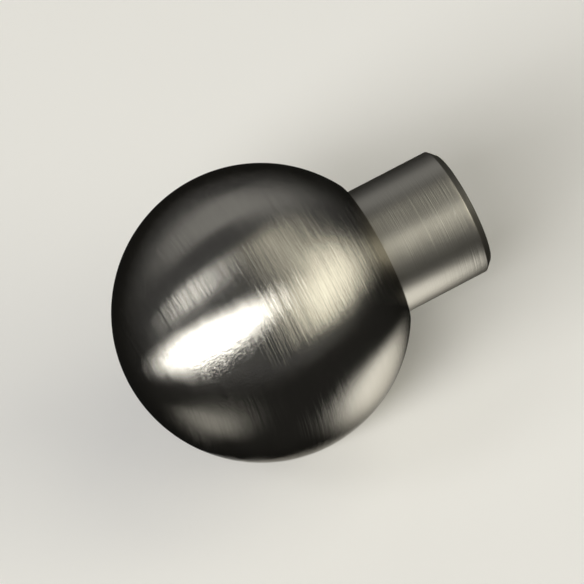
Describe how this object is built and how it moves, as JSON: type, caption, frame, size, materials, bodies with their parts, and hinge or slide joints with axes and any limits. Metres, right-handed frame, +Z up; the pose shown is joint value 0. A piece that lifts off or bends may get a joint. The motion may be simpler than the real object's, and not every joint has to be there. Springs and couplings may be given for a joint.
{
  "type": "curtain pole finial",
  "caption": "Ball finial with a flat seat and a plain plug-in spigot, which closes and dresses the open end of a round metal curtain pole.",
  "frame": {"origin": "centre of the flat seat that the cut end of the tube butts against", "axes": "+X out along the spigot, the way the tube comes off; +Z up; -Y towards the room"},
  "size_m": [0.0482, 0.038, 0.038],
  "materials": {
    "brushed_nickel": "satin nickel, brushed in circles round the axis of the pole"
  },
  "bodies": {
    "root": {"finial": "brushed_nickel"}
  },
  "joints": []
}
